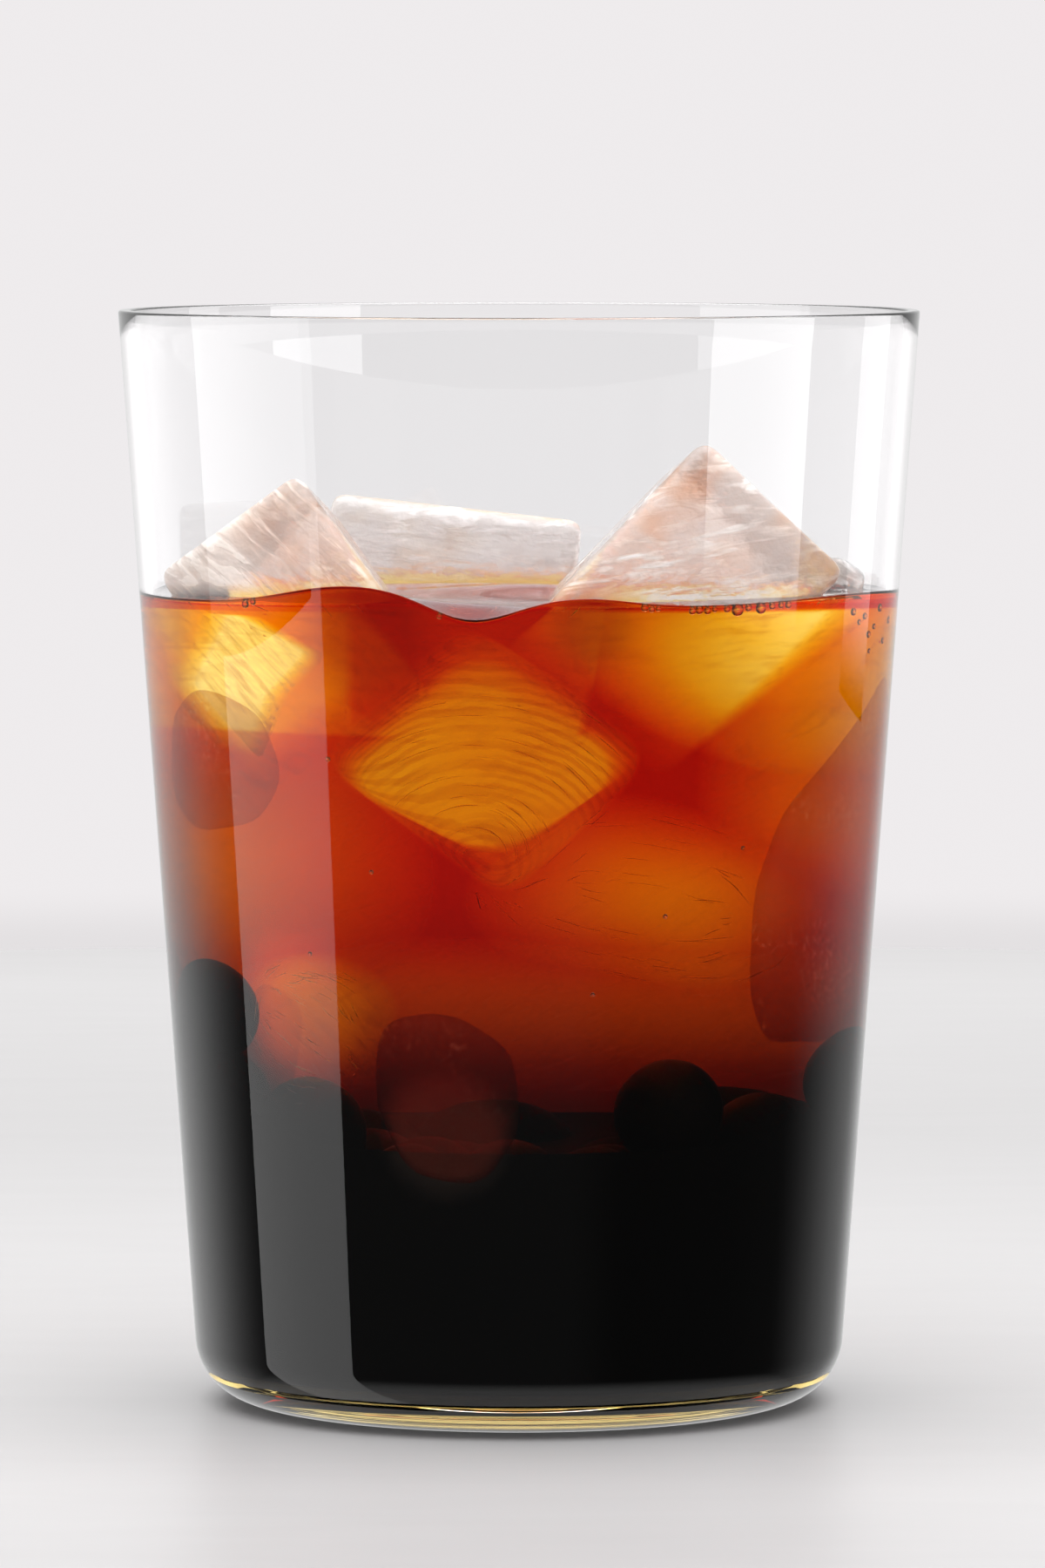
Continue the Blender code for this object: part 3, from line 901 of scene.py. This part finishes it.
def build_ice():
    """All ice. What comes back is the room that the drink leaves for it, sunken and standing out."""
    blocks = build_emergent()
    emergent = [shrunk(f"{name}_room", block, WET) for name, block in blocks.items()]
    kept_off = [shrunk(f"{name}_near", block, -CLEARANCE) for name, block in blocks.items()]
    inside = room_inside("inside", GAP, ICE_CEILING)
    plain = ice_material("sunken_ice", 1.0, tilt=35)
    ringed = ice_material("ringed_ice", 1.0, rings=(-0.0035, -0.0230, 0.0600), dim=(0.78, 0.58, 0.38))
    golden = ice_material(
        "streaked_ice", 1.0, tilt=-48, wet=(1.0, 0.92), dim=(0.74, 0.56, 0.34), grain=(160, 160, 1500)
    )
    looks = {"middle": ringed, "low_left": golden, "front_left": golden}
    sunken = []
    for name, block in sunken_lumps().items():
        block.data.materials.clear()
        cut(block, [inside], "INTERSECT")
        for other in kept_off:
            block.data.materials.clear()
            cut(block, [other], "DIFFERENCE")
        block.data.materials.clear()
        block.data.materials.append(looks.get(name, plain))
        smooth(block)
        sunken.append(shrunk(f"sunken_{name}_room", block, -ROOM))
        kept_off.append(shrunk(f"sunken_{name}_near", block, -CLEARANCE))
        blocks[f"sunken_{name}"] = block
        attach(block, "root")
    for other in [inside] + kept_off:
        bpy.data.objects.remove(other, do_unlink=True)
    build_frost(blocks)
    return sunken, emergent


def spindle(points, thickness, verts, faces):
    """A thin tapered strand of four sides along some points."""
    first = len(verts)
    verts.append(points[0])
    for before, point, after in zip(points, points[1:], points[2:]):
        along = (after - before).normalized()
        side = along.orthogonal().normalized()
        up = along.cross(side)
        verts.extend(point + thickness * v for v in (side, up, -side, -up))
    verts.append(points[-1])
    last = len(verts) - 1
    rings = [list(range(first + 1 + 4 * k, first + 5 + 4 * k)) for k in range(len(points) - 2)]
    for i in range(4):
        j = (i + 1) % 4
        faces.append((first, rings[0][j], rings[0][i]))
        faces.append((last, rings[-1][i], rings[-1][j]))
        for a, b in zip(rings, rings[1:]):
            faces.append((a[i], a[j], b[j], b[i]))


def frost_material():
    made, tree, shader, output = material("trapped_air")
    tinged(tree, shader, 300, (0.86, 0.84, 0.84), (0.97, 0.96, 0.97), 1.0)
    set_inputs(shader, Roughness=0.5, IOR=1.0, Transmission_Weight=0.5)
    return made


def trails(block, draw, dry_only, count, way, short, long, thick, depth):
    """Points and thickness of straight trails at random places under a block's faces."""
    polygons = block.data.polygons
    totals = list(itertools.accumulate(p.area for p in polygons))
    for _ in range(count):
        picked = polygons[bisect.bisect_left(totals, draw.uniform(0, totals[-1]))]
        normal = picked.normal
        start = picked.center - normal * (0.0004 + depth * draw.random() ** 2)
        if noise.noise(start * 180) + draw.uniform(-0.35, 0.35) < 0:
            continue
        if dry_only and start.z < TEA_LEVEL:
            continue
        along = Vector(way)
        along += 0.25 * noise.noise_vector(start * 120)
        along = (along - along.dot(normal) * normal).normalized()
        length = draw.uniform(short, long)
        bend = normal.cross(along) * draw.uniform(-0.08, 0.08) * length
        shares = [k / 4 for k in range(5)]
        yield [start + along * length * (k - 0.5) + bend * math.sin(math.pi * k) for k in shares], thick


def ring_trails(draw, middle, widest, pitch, count, thick):
    """Points and thickness of trails that run in rings round a point."""
    for _ in range(count):
        reach = pitch * draw.randint(1, int(widest / pitch)) + draw.uniform(-0.2, 0.2) * pitch
        turn = draw.uniform(-0.2, math.pi + 0.2)
        span = draw.uniform(0.0015, 0.0050) / reach
        deep = draw.uniform(0.0, 0.0035) + 0.25 * reach
        angles = [turn + span * k / 4 for k in range(5)]
        offsets = [Vector((reach * math.cos(a), deep, reach * math.sin(a))) for a in angles]
        yield [Vector(middle) + offset for offset in offsets], thick


def build_frost(blocks):
    """Trails of trapped air inside the blocks of ice."""
    noise.seed_set(SEED)  # unseeded, noise_vector starts from the clock
    made = frost_material()
    for name, block in blocks.items():
        tree = BVHTree.FromObject(block, bpy.context.evaluated_depsgraph_get())
        draw = random.Random(name)
        verts, faces = [], []

        def inside(point, margin=0.0003):
            near, normal, _, far = tree.find_nearest(point)
            return far > margin and (point - near).dot(normal) < 0

        if name in TRAILS:
            found = trails(block, draw, name.startswith("ice"), *TRAILS[name])
        elif name in RINGS:
            found = ring_trails(draw, *RINGS[name])
        else:
            continue
        for points, thick in found:
            if all(inside(p) for p in points):
                spindle(points, thick * draw.uniform(0.4, 1.0), verts, faces)
        if not faces:
            continue
        mesh = bpy.data.meshes.new(f"{name}_air")
        mesh.from_pydata(verts, [], faces)
        air = new_object(f"{name}_air", mesh, made)
        smooth(air)
        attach(air, "root")


def contact_material():
    """Dull and dotted with air. Low down it is darker, has no dots and scatters a little more."""
    made, tree, shader, output = material("contact_dull")
    set_inputs(shader, Roughness=0.25, IOR=1.0, Specular_Tint=NO_GLOSS)
    coords, across, deep, up = object_axes(tree)
    height = scaled(tree, up, 0.038, 0.056)
    foot = scaled(tree, up, 0.034, 0.041, 1, 0, True)
    dots = scaled(tree, speckle(tree, coords, 1500, 1.0), 0.56, 0.66)
    dots = maths(tree, "MULTIPLY", dots, scaled(tree, speckle(tree, coords, 110, 1.0), 0.48, 0.62))
    dots = maths(tree, "MULTIPLY", dots, maths(tree, "SUBTRACT", 1, foot))
    tone = mixed(tree, height, (0.50, 0.16, 0.10), (0.78, 0.60, 0.48))
    tone = mixed(tree, foot, tone, (0.50, 0.10, 0.065))
    plug_in(tree, mixed(tree, dots, tone, (0.90, 0.80, 0.70)), shader.inputs["Base Color"])
    haze = scaled(tree, dots, 0, 1, 0.05, 0.12)
    haze = maths(tree, "MULTIPLY", haze, scaled(tree, height, 0, 1, 0.2, 1))
    haze = maths(tree, "ADD", haze, maths(tree, "MULTIPLY", foot, 0.11))
    plug_in(tree, maths(tree, "SUBTRACT", 1, haze), shader.inputs["Transmission Weight"])
    return made


def build_patches():
    """Where ice lies against the wall: thin faces with trapped air."""
    made = contact_material()
    rings, steps, thick = 8, 96, 0.0003
    for name, (azimuth, height, half_width, half_height, rise, growth, square) in PATCHES.items():
        draw = random.Random(name)
        wobble = drawn_phases(draw)

        def on_wall(share, turn, inward):
            power = 2 / square
            across = math.copysign(abs(math.cos(turn)) ** power, math.cos(turn))
            up = math.copysign(abs(math.sin(turn)) ** power, math.sin(turn))
            uneven = 1 + 0.03 * math.sin(2 * turn + wobble[0]) + 0.03 * math.sin(3 * turn + wobble[1])
            uneven += 0.015 * math.sin(7 * turn + wobble[2])
            across, up = across * share * uneven, up * share * uneven
            z = height + half_height * up * (1 + growth * across) + rise * half_width * across
            r = inner_radius(z) - BRIM - inward
            angle = math.radians(azimuth) + half_width * across / inner_radius(height)
            return (r * math.sin(angle), -r * math.cos(angle), z)

        bm = bmesh.new()
        turns = [2 * math.pi * (i + 0.5) / steps for i in range(steps)]
        edge = [bm.verts.new(on_wall(1, t, thick / 2)) for t in turns]
        for inward in (0, thick):
            loops = []
            for share in [k / rings for k in range(1, rings)]:
                loops.append([bm.verts.new(on_wall(share, t, inward)) for t in turns])
            loops.append(edge)
            fan(bm, bm.verts.new(on_wall(0, 0, inward)), loops[0])
            stitch(bm, loops)
        bmesh.ops.recalc_face_normals(bm, faces=bm.faces)
        patch = from_bmesh(f"contact_{name}", bm, made)
        smooth(patch)
        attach(patch, "root")


def build_bubbles():
    made, tree, shader, output = material("bubble")
    set_inputs(shader, Roughness=0.0, IOR=1.4, Transmission_Weight=1.0)
    tinged(tree, shader, 400, (0.95, 0.90, 0.86), (1.0, 0.99, 0.98))
    bm = bmesh.new()
    for azimuth, up, radius in BUBBLES:
        turn = math.radians(azimuth)
        z = TEA_LEVEL + up
        for _ in range(3):
            reach = inner_radius(z) - radius * 1.1
            z = tea_top(reach * math.sin(turn), -reach * math.cos(turn)) + up
        place = (reach * math.sin(turn), -reach * math.cos(turn), z)
        bmesh.ops.create_icosphere(bm, subdivisions=3, radius=radius, matrix=Matrix.Translation(place))
    bubbles = from_bmesh("bubbles", bm, made)
    smooth(bubbles)
    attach(bubbles, "root")


# ================================================================ the pearls
def layer_top(x, y):
    """Height of the dark layer, which stands higher at the wall."""
    side = LAYER_RISE["left"] if x < 0 else LAYER_RISE["right"]
    reach = inner_radius(LAYER_LEVEL)
    dish = LAYER_DIP * ((math.hypot(x, y) / reach) ** 2 - 1)
    return LAYER_LEVEL + dish + side * abs(x / reach) ** LAYER_BANK


def pearl_places():
    """Centre, radius and turn of the pearls that stand proud of the layer."""
    draw = random.Random(SEED)
    wall = inner_radius(LAYER_LEVEL) - GAP
    places = [(Vector(centre), PEARL_RADIUS + PEARL_SPREAD, i) for i, centre in enumerate(HIGH_PEARLS)]
    for i in range(int(math.pi * (wall / PEARL_PITCH) ** 2)):
        size = PEARL_RADIUS + draw.uniform(-PEARL_SPREAD, PEARL_SPREAD)
        jostle = draw.uniform(-PEARL_JOSTLE, PEARL_JOSTLE)
        turn = i * PEARL_TURN + draw.uniform(-PEARL_DRIFT, PEARL_DRIFT)
        out = min(PEARL_PITCH * math.sqrt((i + 0.5) / math.pi), wall - WALL_CLEARANCE * size)
        x, y = out * math.cos(turn), out * math.sin(turn)
        centre = Vector((x, y, layer_top(x, y) - PEARL_SINK + jostle))
        if all((centre - other).length > PEARL_CLEARANCE * PEARL_RADIUS for other, _, _ in places):
            places.append((centre, size, turn))
    return places


def build_pearls():
    made, tree, shader, output = material("dark_pearl")
    tinged(tree, shader, 260, (0.004, 0.002, 0.0015), (0.014, 0.007, 0.005))
    set_inputs(shader, Roughness=0.4, IOR=1.2)
    bm = bmesh.new()
    for centre, size, turn in pearl_places():
        bmesh.ops.create_icosphere(
            bm, subdivisions=4, radius=size,
            matrix=Matrix.Translation(centre) @ Matrix.Rotation(turn, 4, "Z"),
        )
    pearls = from_bmesh("pearl_heap", bm, made)
    smooth(pearls)
    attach(pearls, "root")
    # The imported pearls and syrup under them.
    bm = bmesh.new()
    turns = round_turns(CORE_TURNS)
    rim = inner_radius(LAYER_LEVEL) - GAP

    def vert(reach, turn):
        x, y, _ = round_axis(reach, turn, 0)
        return bm.verts.new((x, y, layer_top(x, y)))

    loops = [[vert(rim * (ring / CORE_RINGS), t) for t in turns] for ring in range(1, CORE_RINGS + 1)]
    for r, z in corner_arc(short_of_wall(GAP), BASE + GAP, INNER_CORNER - GAP, 12)[::-1]:
        loops.append([bm.verts.new(round_axis(r, t, z)) for t in turns])
    stitch(bm, loops)
    fan(bm, vert(0, 0), loops[0])
    fan(bm, bm.verts.new((0, 0, BASE + GAP)), loops[-1], True)
    core = from_bmesh("pearl_core", bm, made)
    smooth(core, 60)
    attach(core, "root")
    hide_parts("pearls")


# ================================================================ build
def main():
    scene = bpy.context.scene
    scene.view_settings.view_transform = "Standard"
    scene.cycles.max_bounces = 40
    scene.cycles.transmission_bounces = 40
    scene.cycles.glossy_bounces = 12
    scene.cycles.transparent_max_bounces = 24
    build_camera()
    build_world()
    build_table()
    build_top_light()
    card("softbox_left", -81, 40, -60, 40, 1.5)
    card("window_left", -81, 40, -3, 40, 2.2, distance=0.30)
    card("window_right", 70, 34, -3.5, 40, 3.6, distance=0.30)
    card("window_far_right", 118, 16, -3.5, 40, 1.5, distance=0.30)
    build_glass()
    build_tea(*build_ice())
    build_pearls()
    build_patches()
    build_bubbles()


main()
